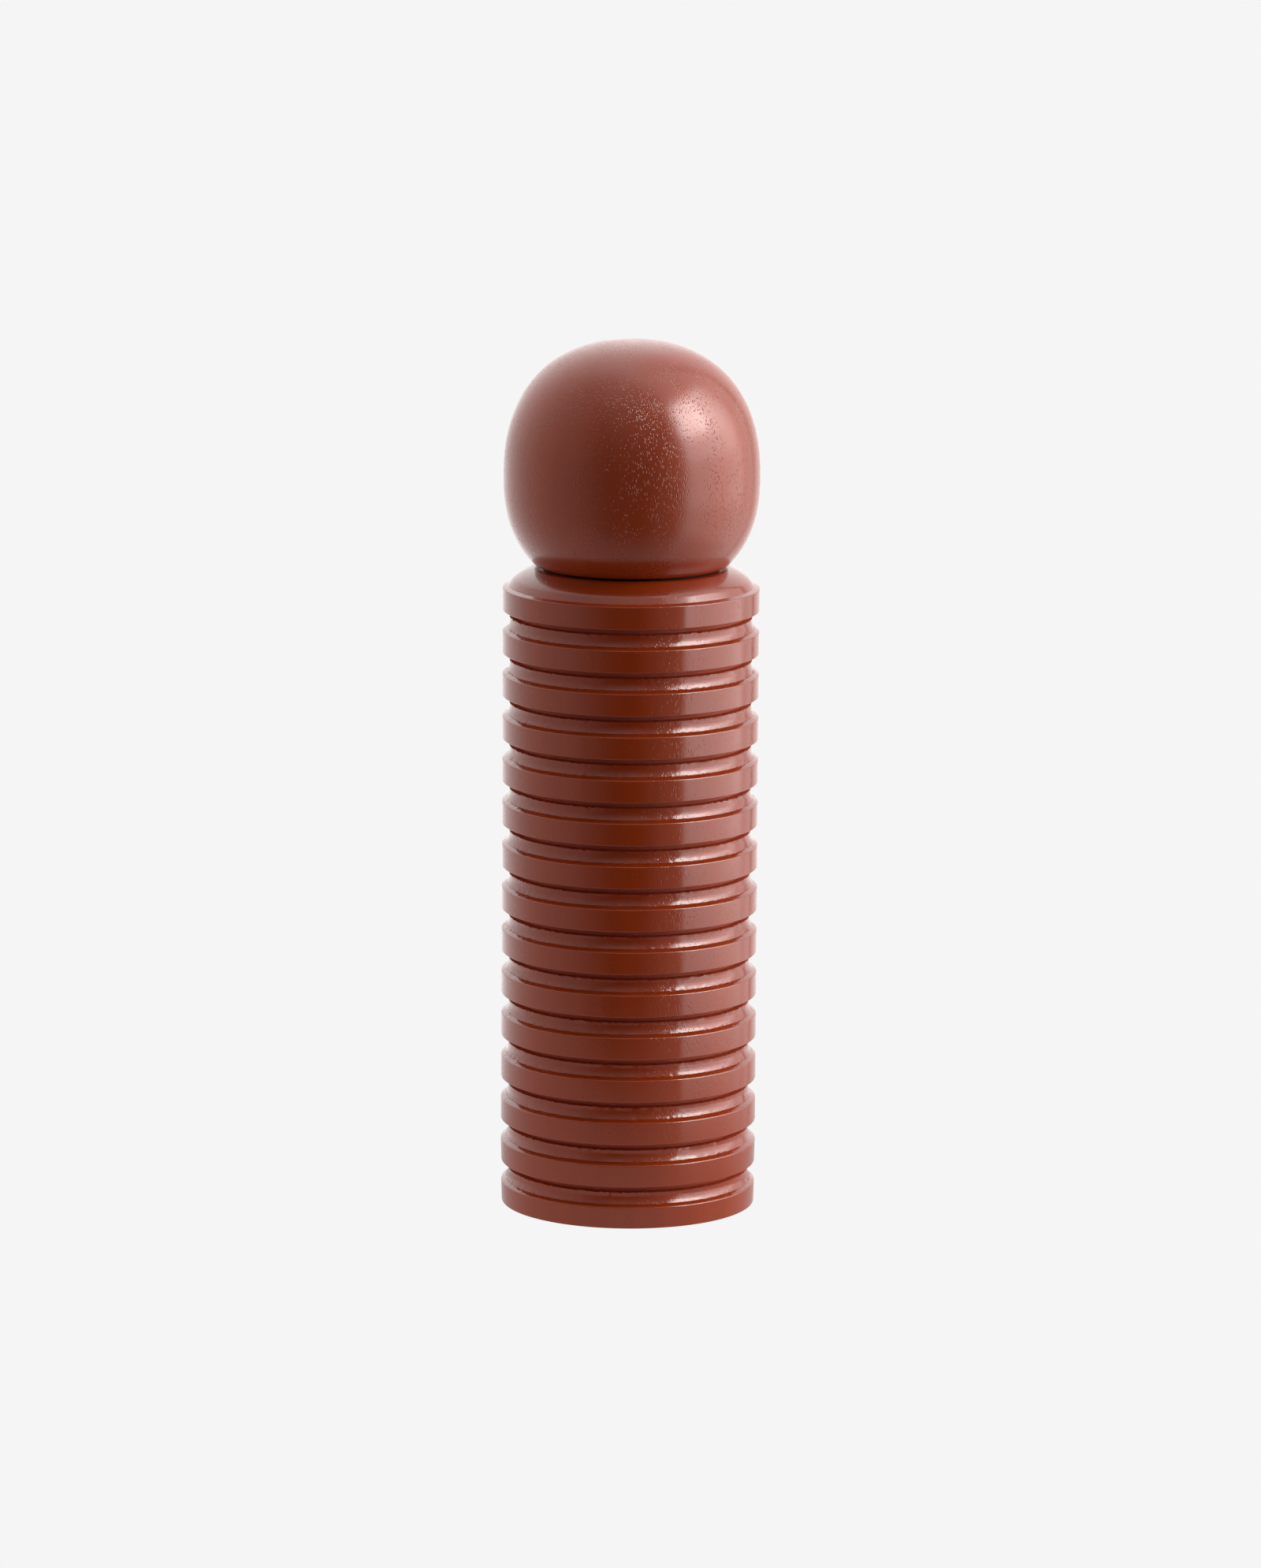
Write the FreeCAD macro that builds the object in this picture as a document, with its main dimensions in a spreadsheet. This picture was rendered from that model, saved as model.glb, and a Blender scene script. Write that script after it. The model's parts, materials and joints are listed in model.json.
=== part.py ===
import FreeCAD, Part
import math
import os

import Sketcher

# Pepper mill with a turned wooden body, a ball head and a ceramic grinder that is adjusted from below.
# Frame: +Z up, origin at the centre of the foot, millimetres. The head turns, and lifts off to refill.

SIZES = {
    # turned wooden body, outside
    "shell_radius": 30.0,
    "foot_radius": 29.75,
    "foot_taper": 20.0,
    "foot_round": 0.3,
    "groove_count": 14,
    "groove_pitch": 10.105,
    "groove_top": 141.2,
    "groove_height": 4.95,
    "slot_radius": 27.0,
    "slot_height": 1.35,
    "cove_radius": 28.3,
    "cove_foot_radius": 28.9,
    "cove_foot": 4.2,
    "cove_curve": 3.2,
    "quirk_radius": 28.85,
    "quirk_depth": 4.3,
    "band_round": 0.2,
    "top_band": 146.45,
    "shoulder_ledge": 0.45,
    "shoulder_foot_radius": 28.7,
    "shoulder_break_radius": 27.5,
    "shoulder_break": 148.5,
    "shoulder_curve": 16.0,
    "shell_flat_radius": 22.7,
    "shell_height": 151.25,
    # turned wooden body, bores
    "recess_radius": 23.0,
    "recess_depth": 4.0,
    "bore_radius": 19.0,
    "bore_top": 43.5,
    "chamber_radius": 17.0,
    "seat_radius": 20.6,
    "seat_depth": 0.65,
    "glide_gap": 0.2,
    # head
    "head_radius": 29.84,
    "head_middle": 172.78,
    "head_top": 204.3,
    "head_lower_half": 28.19,
    "head_bottom": 151.8,
    "tenon_radius": 16.4,
    "tenon_bottom": 133.8,
    "tenon_chamfer": 0.8,
    "socket_radius": 12.0,
    "socket_top": 160.0,
    "tip_bore_radius": 5.5,
    "tip_bore_top": 168.0,
    "socket_flange_radius": 16.0,
    "socket_flange": 2.0,
    "socket_cap": 1.2,
    "clip_pocket_radius": 6.6,
    "clip_pocket_depth": 1.6,
    "clip_play": 0.2,
    "cap_hole": 4.4,
    "loose_gap": 0.2,
    # shaft
    "shaft_flats": 7.0,
    "hex_clearance": 0.08,
    "hex_bottom": 22.0,
    "shaft_top": 165.0,
    "shaft_point": 3.0,
    "stud_radius": 3.0,
    "stud_bottom": 2.4,
    "shaft_groove_radius": 3.2,
    "grip_groove_radius": 3.7,
    "stud_root": 1.0,
    "sleeve_fit": 0.02,
    # bridge and what runs in it
    "bridge_bottom": 40.0,
    "bridge_hub_radius": 8.2,
    "bridge_hub_top": 45.0,
    "bridge_hub_drop": 0.4,
    "bridge_ring_inner": 16.0,
    "arm_width": 4.0,
    "sleeve_radius": 5.72,
    "running_gap": 0.08,
    "flat_gap": 0.1,
    "sleeve_flange_radius": 7.6,
    "sleeve_flange": 1.5,
    "small_bevel": 0.6,
    "washer": 0.6,
    "washer_radius": 7.4,
    "washer_hole": 4.15,
    "clip": 0.8,
    "clip_radius": 7.0,
    # burr housing and outer burr
    "housing_radius": 18.9,
    "housing_inner": 17.5,
    "housing_flange_radius": 22.6,
    "housing_flange": 2.0,
    "outlet_radius": 16.4,
    "burr_seat": 12.8,
    "outer_burr_top": 27.0,
    "throat": 20.0,
    "throat_radius": 12.6,
    "outlet_gap_radius": 15.14,
    "funnel_radius": 16.0,
    "retainer": 2.0,
    "press_gap": 0.05,
    "fine_teeth": 24,
    "fine_tooth_radius": 0.54,
    "fine_tooth_lean": 10.3,
    "coarse_teeth": 6,
    "coarse_tooth_radius": 1.8,
    "coarse_tooth_lean": 28.6,
    # inner burr and its carrier
    "carrier_bottom": 11.0,
    "carrier_flange": 1.6,
    "carrier_flange_radius": 12.0,
    "carrier_radius": 6.5,
    "carrier_top": 30.5,
    "hex_socket_depth": 9.7,
    "stud_bore": 3.3,
    "burr_rim_radius": 14.2,
    "burr_rim": 13.2,
    "burr_rim_bevel": 0.4,
    "burr_waist_radius": 11.8,
    "burr_top_radius": 7.8,
    "burr_top": 28.6,
    "lock_ring_radius": 8.6,
    "lock_ring_notches": 4,
    # compression spring
    "spring_mean_radius": 5.4,
    "spring_wire": 0.9,
    "spring_turns": 4.0,
    "spring_end_gap": 0.05,
    # adjusting knob
    "knob_radius": 10.5,
    "knob_bottom": 1.6,
    "knob_top": 8.6,
    "knob_hub_radius": 6.2,
    "knob_hub_top": 10.2,
    "knob_dish_radius": 7.6,
    "knob_dish": 1.0,
    "flute_radius": 0.9,
    "flute_count": 20,
    "flute_offset": 0.4,
    "knob_bevel": 0.8,
    "insert_radius": 4.2,
    "insert_flange_radius": 5.2,
    "insert_flange": 0.8,
    "detent_radius": 6.0,
    "detent_hole": 3.6,
    # screws
    "screw_count": 3,
    "housing_screw_circle": 20.7,
    "housing_screw_length": 12.0,
    "socket_screw_circle": 13.6,
    "socket_screw_length": 11.0,
    "screw_shank": 1.2,
    "screw_head": 2.1,
    "screw_head_depth": 1.2,
    "screw_point": 2.0,
    "pilot_gap": 0.05,
    "screw_tip": 0.1,
}

HEAD_POWER_ABOVE = 2.29    # exponents of the head's outline above and below its widest circle
HEAD_POWER_BELOW = 2.38

doc = FreeCAD.newDocument("pepper_mill")
sheet = doc.addObject("Spreadsheet::Sheet", "Sizes")
for row, (alias, number) in enumerate(SIZES.items(), start=1):
    sheet.set(f"A{row}", alias)
    sheet.set(f"B{row}", str(number))
    sheet.setAlias(f"B{row}", alias)
doc.recompute()


class Size:
    """A length from the sheet, with the expression that binds it."""

    def __init__(self, number, text):
        self.number = number
        self.text = text

    def joined(self, sign, other, number):
        return Size(number, f"({self.text} {sign} {text_of(other)})")

    def __add__(self, other):
        return self.joined("+", other, self.number + number_of(other))

    def __sub__(self, other):
        return self.joined("-", other, self.number - number_of(other))

    def __mul__(self, other):
        return self.joined("*", other, self.number * number_of(other))

    def __truediv__(self, other):
        return self.joined("/", other, self.number / number_of(other))

    def __neg__(self):
        return self * -1.0


def number_of(value):
    return value.number if isinstance(value, Size) else float(value)


def text_of(value):
    return value.text if isinstance(value, Size) else repr(float(value))


def size(alias):
    return Size(float(sheet.get(alias)), f"Sizes.{alias}")


def bind(item, path, value):
    """Set a property or constraint and tie it to the sheet."""
    if isinstance(value, Size):
        item.setExpression(path, value.text)
    else:
        setattr(item, path, value)


# ---------------------------------------------------------------- sketches and features

def new_body(label):
    body = doc.addObject("PartDesign::Body", label)
    body.Label = label
    return body


def new_sketch(body, plane, lift=None):
    """A sketch on one of the body's own origin planes, raised along its normal by lift."""
    sketch = body.newObject("Sketcher::SketchObject", f"{body.Label}_sketch")
    support = [item for item in body.Origin.OriginFeatures if item.Role == plane][0]
    sketch.AttachmentSupport = [(support, "")]
    sketch.MapMode = "FlatFace"
    if lift is not None:
        sketch.setExpression("AttachmentOffset.Base.z", text_of(lift))
    return sketch


def pin(sketch, edge, end, x, y):
    """Fix one end of an edge at x, y measured from the sketch's origin."""
    for value, kind, axis in ((x, "DistanceX", -2), (y, "DistanceY", -1)):
        if number_of(value) == 0.0:
            sketch.addConstraint(Sketcher.Constraint("PointOnObject", edge, end, axis))
            continue
        index = sketch.addConstraint(Sketcher.Constraint(kind, -1, 1, edge, end, number_of(value)))
        if isinstance(value, Size):
            sketch.setExpression(f"Constraints[{index}]", value.text)


def arc_edge(start, stop, radius):
    """Arc from start to stop; a positive radius puts its centre to the left of the way it runs."""
    chord = stop - start
    left = FreeCAD.Vector(-chord.y, chord.x, 0).normalize()
    reach = math.sqrt(radius ** 2 - (chord.Length / 2) ** 2)
    side = 1 if radius > 0 else -1
    centre = (start + stop) / 2 + left * reach * side
    middle = centre - left * abs(radius) * side
    return Part.Arc(start, middle, stop)


def outline(sketch, points):
    """Closed outline through (x, y) or (x, y, radius of the arc that leaves this point)."""
    places = [FreeCAD.Vector(number_of(p[0]), number_of(p[1]), 0) for p in points]
    first = sketch.GeometryCount
    for i, point in enumerate(points):
        start, stop = places[i], places[(i + 1) % len(points)]
        if len(point) == 3:
            sketch.addGeometry(arc_edge(start, stop, number_of(point[2])), False)
        else:
            sketch.addGeometry(Part.LineSegment(start, stop), False)
    # an arc keeps its start and end in counter-clockwise order, so each end is looked up
    ends = []
    for i in range(len(points)):
        edge = first + i
        at_start = sketch.getPoint(edge, 1).distanceToPoint(places[i]) < 1e-6
        ends.append((1, 2) if at_start else (2, 1))
    for i, point in enumerate(points):
        edge, after = first + i, first + (i + 1) % len(points)
        leaving, arriving = ends[i]
        sketch.addConstraint(Sketcher.Constraint(
            "Coincident", edge, arriving, after, ends[(i + 1) % len(points)][0]))
        pin(sketch, edge, leaving, point[0], point[1])
        if len(point) == 3:
            index = sketch.addConstraint(Sketcher.Constraint("Radius", edge, abs(number_of(point[2]))))
            if isinstance(point[2], Size):
                sketch.setExpression(f"Constraints[{index}]", f"abs({point[2].text})")


def rectangle(x0, y0, x1, y1):
    return [(x0, y0), (x1, y0), (x1, y1), (x0, y1)]


def hexagon(flats):
    """Corners of a hexagon with two of them on the X axis."""
    corner = flats / math.sqrt(3)
    half = flats / 2
    return [(corner, 0), (corner / 2, half), (-(corner / 2), half),
            (-corner, 0), (-(corner / 2), -half), (corner / 2, -half)]


def circle(sketch, x, y, radius):
    place = FreeCAD.Vector(number_of(x), number_of(y), 0)
    edge = sketch.addGeometry(Part.Circle(place, FreeCAD.Vector(0, 0, 1), number_of(radius)), False)
    pin(sketch, edge, 3, x, y)
    index = sketch.addConstraint(Sketcher.Constraint("Radius", edge, number_of(radius)))
    sketch.setExpression(f"Constraints[{index}]", text_of(radius))


def turn(body, points, kind="PartDesign::Revolution"):
    """Add (Revolution) or remove (Groove) a turned form: points are radius and height."""
    sketch = new_sketch(body, "XZ_Plane")
    outline(sketch, points)
    feature = body.newObject(kind, f"{body.Label}_turned")
    feature.Profile = sketch
    feature.ReferenceAxis = (sketch, ["V_Axis"])
    feature.Angle = 360.0
    sketch.Visibility = False
    return feature


def raise_prism(body, draw, low, high, kind="PartDesign::Pad"):
    """Pad or Pocket between two heights; draw(sketch) makes the outline on the lower height."""
    cutting = kind == "PartDesign::Pocket"
    sketch = new_sketch(body, "XY_Plane", high if cutting else low)
    draw(sketch)
    feature = body.newObject(kind, f"{body.Label}_prism")
    feature.Profile = sketch
    bind(feature, "Length", high - low)
    sketch.Visibility = False
    return feature


def ring_pattern(body, original, count):
    sketch = original.Profile[0]
    pattern = body.newObject("PartDesign::PolarPattern", f"{body.Label}_ring")
    pattern.Originals = [original]
    pattern.Axis = (sketch, ["N_Axis"])
    pattern.Angle = 360.0
    bind(pattern, "Occurrences", count)
    body.Tip = pattern
    return pattern


def round_edges(body, radius, wanted):
    """Fillet every circular edge whose radius and height satisfy wanted."""
    doc.recompute()
    base = body.Tip
    names = []
    for number, edge in enumerate(base.Shape.Edges, start=1):
        if isinstance(edge.Curve, Part.Circle) and wanted(edge.Curve.Radius, edge.Curve.Center.z):
            names.append(f"Edge{number}")
    fillet = body.newObject("PartDesign::Fillet", f"{body.Label}_round")
    fillet.Base = (base, names)
    bind(fillet, "Radius", radius)
    body.Tip = fillet
    doc.recompute()
    return len(names)


def turned_ring(label, inner, outer, low, high):
    body = new_body(label)
    turn(body, rectangle(inner, low, outer, high))
    return body


# ---------------------------------------------------------------- Part primitives

def cylinder(name, radius, low, high):
    item = doc.addObject("Part::Cylinder", name)
    bind(item, "Radius", radius)
    bind(item, "Height", high - low)
    item.setExpression("Placement.Base.z", text_of(low))
    return item


def cone(name, low_radius, high_radius, low, high):
    item = doc.addObject("Part::Cone", name)
    bind(item, "Radius1", low_radius)
    bind(item, "Radius2", high_radius)
    bind(item, "Height", high - low)
    item.setExpression("Placement.Base.z", text_of(low))
    return item


def move_round(item, reach, angle):
    """Place a primitive at a distance from the axis, at an angle round it."""
    item.setExpression("Placement.Base.x", text_of(reach * math.cos(angle)))
    item.setExpression("Placement.Base.y", text_of(reach * math.sin(angle)))


def combine(kind, label, pieces):
    item = doc.addObject(kind, label)
    if kind == "Part::Cut":
        item.Base, item.Tool = pieces
    elif kind == "Part::Compound":
        item.Links = pieces
    else:
        item.Shapes = pieces
    item.Label = label
    return item


def screw(name, circle_radius, angle, low, length):
    """Countersunk wood screw pointing up, with its head's face at low and a cross recess."""
    head_depth = size("screw_head_depth")
    shank_end = low + length - size("screw_point")
    pieces = [
        cone(f"{name}_head", size("screw_head"), size("screw_shank"), low, low + head_depth),
        cylinder(f"{name}_shank", size("screw_shank"), low + head_depth, shank_end),
        cone(f"{name}_point", size("screw_shank"), size("screw_tip"), shank_end, low + length),
    ]
    solid = combine("Part::MultiFuse", f"{name}_solid", pieces)
    slots = []
    for turn_index in range(2):
        slot = doc.addObject("Part::Box", f"{name}_slot{turn_index}")
        bind(slot, "Length", size("screw_head") * 1.2)
        bind(slot, "Width", size("screw_head") * 0.25)
        bind(slot, "Height", head_depth * 0.5)
        spin = FreeCAD.Rotation(FreeCAD.Vector(0, 0, 1), 90 * turn_index)
        corner = FreeCAD.Vector(-slot.Length.Value / 2, -slot.Width.Value / 2, number_of(low))
        slot.Placement = FreeCAD.Placement(spin.multVec(corner), spin)
        slots.append(slot)
    cross = combine("Part::MultiFuse", f"{name}_cross", slots)
    made = combine("Part::Cut", name, [solid, cross])
    reach = number_of(circle_radius)
    made.Placement.Base = FreeCAD.Vector(reach * math.cos(angle), reach * math.sin(angle), 0)
    return made


def screw_angles():
    count = int(sheet.get("screw_count"))
    return [math.radians(90 + 360 * i / count) for i in range(count)]


def screws(label, circle_radius, low, length):
    doc.recompute()
    made = [screw(f"{label}_{i}", circle_radius, angle, low, length)
            for i, angle in enumerate(screw_angles())]
    return combine("Part::Compound", label, made)


def pilot_holes(body, circle_radius, low, high, radius):
    """Holes for the screws, on their circle."""
    def draw(sketch):
        circle(sketch, 0.0, circle_radius, radius)
    hole = raise_prism(body, draw, low, high, "PartDesign::Pocket")
    ring_pattern(body, hole, size("screw_count"))


def countersunk(label, blank, circle_radius, low):
    """The blank with a conical seat for each screw's head, opening downwards at low."""
    gap = size("pilot_gap")
    sinks = []
    for i, angle in enumerate(screw_angles()):
        sink = cone(f"{label}_sink{i}", size("screw_head") + gap, size("screw_shank") + gap,
                    low, low + size("screw_head_depth"))
        move_round(sink, circle_radius, angle)
        sinks.append(sink)
    return combine("Part::Cut", label, [blank, combine("Part::MultiFuse", f"{label}_sinks", sinks)])


# ---------------------------------------------------------------- wooden body

def make_body_shell():
    body = new_body("body_shell")
    radius, foot = size("shell_radius"), size("foot_radius")
    ledge = size("top_band") + size("shoulder_ledge")
    seat = size("shell_height") - size("seat_depth")
    turn(body, [
        (size("recess_radius"), 0),
        (foot, 0),
        (radius, size("foot_taper")),
        (radius, size("top_band")),
        (size("shoulder_foot_radius"), ledge),
        (size("shoulder_break_radius"), size("shoulder_break"), size("shoulder_curve")),
        (size("shell_flat_radius"), size("shell_height")),
        (size("seat_radius"), size("shell_height")),
        (size("seat_radius"), seat),
        (size("chamber_radius"), seat),
        (size("chamber_radius"), size("bore_top")),
        (size("bore_radius"), size("bore_top")),
        (size("bore_radius"), size("recess_depth")),
        (size("recess_radius"), size("recess_depth")),
    ])
    # one groove: a square-cornered slot under each band, a coved floor, and a sloping ledge
    top = size("groove_top")
    outside = radius + 2.0
    ledge_slope = (size("groove_height") - size("quirk_depth")) / (radius - size("quirk_radius"))
    outer_ledge = top - size("quirk_depth") - ledge_slope * (outside - size("quirk_radius"))
    groove = turn(body, [
        (outside, top),
        (size("slot_radius"), top),
        (size("slot_radius"), top - size("slot_height")),
        (size("cove_radius"), top - size("slot_height"), size("cove_curve")),
        (size("cove_foot_radius"), top - size("cove_foot")),
        (size("quirk_radius"), top - size("quirk_depth")),
        (outside, outer_ledge),
    ], "PartDesign::Groove")
    pattern = body.newObject("PartDesign::LinearPattern", "body_shell_grooves")
    pattern.Originals = [groove]
    pattern.Direction = (groove.Profile[0], ["V_Axis"])
    pattern.Reversed = True
    bind(pattern, "Length", size("groove_pitch") * (size("groove_count") - 1))
    bind(pattern, "Occurrences", size("groove_count"))
    body.Tip = pattern
    tolerance = 0.4
    plain = number_of(radius)
    rounded = round_edges(body, size("band_round"), lambda r, z: abs(r - plain) < tolerance and z > 1)
    foot_edges = round_edges(body, size("foot_round"),
                             lambda r, z: abs(r - number_of(foot)) < 0.01 and abs(z) < 0.01)
    print("body_shell: band edges rounded", rounded, "foot edges", foot_edges)
    flange_seat = size("recess_depth")
    pilot_holes(body, size("housing_screw_circle"), flange_seat,
                flange_seat + size("housing_screw_length"), size("screw_shank") + size("pilot_gap"))
    return body


def make_glide_ring():
    low = size("shell_height") - size("seat_depth")
    return turned_ring("glide_ring", size("chamber_radius") + size("glide_gap"),
                       size("seat_radius") - size("glide_gap"),
                       low, size("head_bottom") - size("flat_gap"))


# ---------------------------------------------------------------- head

def head_points(count=9):
    """Points on the head's outline from its lower edge to its top: a superellipse in two halves."""
    radius, middle = number_of(size("head_radius")), number_of(size("head_middle"))
    above = number_of(size("head_top")) - middle
    below = number_of(size("head_lower_half"))
    bottom = number_of(size("head_bottom"))
    points = []
    lowest = math.asin(((middle - bottom) / below) ** (HEAD_POWER_BELOW / 2))
    for i in range(count):
        angle = -lowest * (1 - i / (count - 1))
        points.append((radius * math.cos(angle) ** (2 / HEAD_POWER_BELOW),
                       middle - below * abs(math.sin(angle)) ** (2 / HEAD_POWER_BELOW)))
    for i in range(1, count + 1):
        angle = math.pi / 2 * i / count
        across = max(math.cos(angle), 0.0) if i < count else 0.0
        points.append((radius * across ** (2 / HEAD_POWER_ABOVE),
                       middle + above * math.sin(angle) ** (2 / HEAD_POWER_ABOVE)))
    return [FreeCAD.Vector(x, z, 0) for x, z in points]


def make_head_ball():
    body = new_body("head_ball")
    sketch = new_sketch(body, "XZ_Plane")
    curve = Part.BSplineCurve()
    points = head_points()
    level = FreeCAD.Vector(-1, 0, 0)
    curve.interpolate(Points=points, Tangents=[level] * len(points),
                      TangentFlags=[False] * (len(points) - 1) + [True])
    dome = sketch.addGeometry(curve, False)
    sketch.addConstraint(Sketcher.Constraint("Block", dome))
    bottom = size("head_bottom")
    corners = [
        (None, size("head_top")),
        (0, size("tip_bore_top")),
        (size("tip_bore_radius"), size("tip_bore_top")),
        (size("tip_bore_radius"), size("socket_top") + size("loose_gap")),
        (size("socket_radius"), size("socket_top") + size("loose_gap")),
        (size("socket_radius"), size("tenon_bottom")),
        (size("tenon_radius") - size("tenon_chamfer"), size("tenon_bottom")),
        (size("tenon_radius"), size("tenon_bottom") + size("tenon_chamfer")),
        (size("tenon_radius"), bottom),
        (points[0].x, bottom),
    ]
    places = [FreeCAD.Vector(0.0 if x is None else number_of(x), number_of(z), 0) for x, z in corners]
    places[-1] = points[0]
    before = dome
    for i, place in enumerate(places[:-1]):
        edge = sketch.addGeometry(Part.LineSegment(place, places[i + 1]), False)
        joint = (before, 2, edge, 1)
        sketch.addConstraint(Sketcher.Constraint("Coincident", *joint))
        if i > 0:
            pin(sketch, edge, 1, corners[i][0], corners[i][1])
        before = edge
    sketch.addConstraint(Sketcher.Constraint("Coincident", before, 2, dome, 1))
    solid = body.newObject("PartDesign::Revolution", "head_ball_turned")
    solid.Profile = sketch
    solid.ReferenceAxis = (sketch, ["V_Axis"])
    solid.Angle = 360.0
    doc.recompute()
    pilot_holes(body, size("socket_screw_circle"), size("tenon_bottom"),
                size("tenon_bottom") + size("socket_screw_length"),
                size("screw_shank") + size("pilot_gap"))
    return body


def make_drive_socket():
    body = new_body("drive_socket")
    low = size("tenon_bottom") - size("socket_flange")
    turn(body, [
        (0, low + size("clip_pocket_depth")),
        (size("clip_pocket_radius"), low + size("clip_pocket_depth")),
        (size("clip_pocket_radius"), low),
        (size("socket_flange_radius"), low),
        (size("socket_flange_radius"), size("tenon_bottom")),
        (size("socket_radius"), size("tenon_bottom")),
        (size("socket_radius"), size("socket_top")),
        (0, size("socket_top")),
    ])
    flats = size("shaft_flats") + size("hex_clearance") * 2
    raise_prism(body, lambda sketch: outline(sketch, hexagon(flats)), low, size("socket_top"),
                "PartDesign::Pocket")
    pilot_holes(body, size("socket_screw_circle"), low, size("tenon_bottom"),
                size("screw_shank") + size("pilot_gap"))
    return body


def make_socket_cap():
    high = size("tenon_bottom") - size("socket_flange")
    low = high - size("socket_cap")
    blank = turned_ring("socket_cap_blank", size("cap_hole"), size("socket_flange_radius"), low, high)
    return countersunk("socket_cap", blank, size("socket_screw_circle"), low)


def ring_gap(name, reach, width, low, high):
    """Box from the axis out along +X, which opens a ring on that side."""
    gap = doc.addObject("Part::Box", name)
    bind(gap, "Length", reach)
    bind(gap, "Width", width)
    bind(gap, "Height", high - low)
    gap.setExpression("Placement.Base.y", text_of(-(width / 2)))
    gap.setExpression("Placement.Base.z", text_of(low))
    return gap


def make_grip_clip():
    """Spring steel ring that grips the shaft inside the socket, open on one side."""
    low = size("tenon_bottom") - size("socket_flange") + size("clip_play")
    high = low + size("washer") * 2
    ring = turned_ring("grip_clip_ring", size("washer_hole"),
                       size("clip_pocket_radius") - size("clip_play"), low, high)
    gap = ring_gap("grip_clip_gap", size("clip_pocket_radius"), size("clip") * 2, low, high)
    return combine("Part::Cut", "grip_clip", [ring, gap])


# ---------------------------------------------------------------- shaft and what is fixed to it

def make_drive_shaft():
    body = new_body("drive_shaft")
    raise_prism(body, lambda sketch: outline(sketch, hexagon(size("shaft_flats"))),
                size("hex_bottom"), size("shaft_top"))
    turn(body, rectangle(0, size("stud_bottom"), size("stud_radius"),
                         size("hex_bottom") + size("stud_root")))
    # ring grooves for the retaining clip and the grip clip, and a pointed top end
    outside = size("shaft_flats")
    _, clip_top, clip_low = washer_levels()
    turn(body, rectangle(size("shaft_groove_radius"), clip_low, outside, clip_top),
         "PartDesign::Groove")
    grip_low = size("tenon_bottom") - size("socket_flange") + size("clip_play") / 2
    turn(body, rectangle(size("grip_groove_radius"), grip_low, outside,
                         grip_low + size("washer") * 2 + size("clip_play")), "PartDesign::Groove")
    tip_radius = size("shaft_flats") / 2 - size("shaft_point") * 0.4
    above = size("shaft_top") + 1.0
    turn(body, [
        (tip_radius, size("shaft_top")),
        (outside, size("shaft_top") - size("shaft_point") * 2),
        (outside, above),
        (tip_radius, above),
    ], "PartDesign::Groove")
    return body


def make_shaft_sleeve():
    body = new_body("shaft_sleeve")
    low = size("bridge_bottom") - size("bridge_hub_drop") - size("flat_gap")
    flange_low = size("bridge_hub_top") + size("flat_gap")
    flange_high = flange_low + size("sleeve_flange")
    turn(body, [
        (0, low),
        (size("sleeve_radius"), low),
        (size("sleeve_radius"), flange_low),
        (size("sleeve_flange_radius"), flange_low),
        (size("sleeve_flange_radius"), flange_high - size("small_bevel")),
        (size("sleeve_flange_radius") - size("small_bevel"), flange_high),
        (0, flange_high),
    ])
    flats = size("shaft_flats") + size("sleeve_fit") * 2
    raise_prism(body, lambda sketch: outline(sketch, hexagon(flats)), low, flange_high,
                "PartDesign::Pocket")
    return body


def washer_levels():
    """Heights under the bridge: spring washer, retaining clip, thrust washer."""
    thrust_top = size("bridge_bottom") - size("bridge_hub_drop") - size("flat_gap")
    clip_top = thrust_top - size("washer")
    spring_washer_top = clip_top - size("clip")
    return thrust_top, clip_top, spring_washer_top


def make_washers():
    thrust_top, clip_top, spring_top = washer_levels()
    hole, rim = size("washer_hole"), size("washer_radius")
    return [turned_ring("thrust_washer", hole, rim, clip_top, thrust_top),
            turned_ring("spring_washer", hole, rim, spring_top - size("washer"), spring_top)]


def make_shaft_clip():
    """Retaining clip: a flat ring in the shaft's groove, open on one side, with two notches."""
    _, clip_top, clip_low = washer_levels()
    ring = turned_ring("shaft_clip_ring", size("shaft_groove_radius"), size("clip_radius"),
                       clip_low, clip_top)
    mouth_width = size("shaft_groove_radius") * 1.7
    cutters = [ring_gap("shaft_clip_mouth", size("clip_radius") + 1.0, mouth_width, clip_low, clip_top)]
    for i, angle in enumerate((math.radians(120), math.radians(240))):
        notch = cylinder(f"shaft_clip_notch{i}", size("clip"), clip_low, clip_top)
        move_round(notch, size("shaft_groove_radius") + size("clip") * 0.75, angle)
        cutters.append(notch)
    return combine("Part::Cut", "shaft_clip",
                   [ring, combine("Part::MultiFuse", "shaft_clip_cutters", cutters)])


def make_burr_spring():
    """Compression spring between the inner burr's carrier and the spring washer."""
    body = new_body("burr_spring")
    wire = size("spring_wire") / 2
    _, _, washer_top = washer_levels()
    low = size("carrier_top") + wire + size("spring_end_gap")
    high = washer_top - size("washer") - wire - size("spring_end_gap")
    sketch = new_sketch(body, "XZ_Plane")
    circle(sketch, size("spring_mean_radius"), low, wire)
    coil = body.newObject("PartDesign::AdditiveHelix", "burr_spring_coil")
    coil.Profile = sketch
    coil.ReferenceAxis = (sketch, ["V_Axis"])
    coil.Mode = "pitch-turns-angle"
    bind(coil, "Pitch", (high - low) / size("spring_turns"))
    bind(coil, "Turns", size("spring_turns"))
    sketch.Visibility = False
    return body


# ---------------------------------------------------------------- bridge, housing and outer burr

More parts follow.
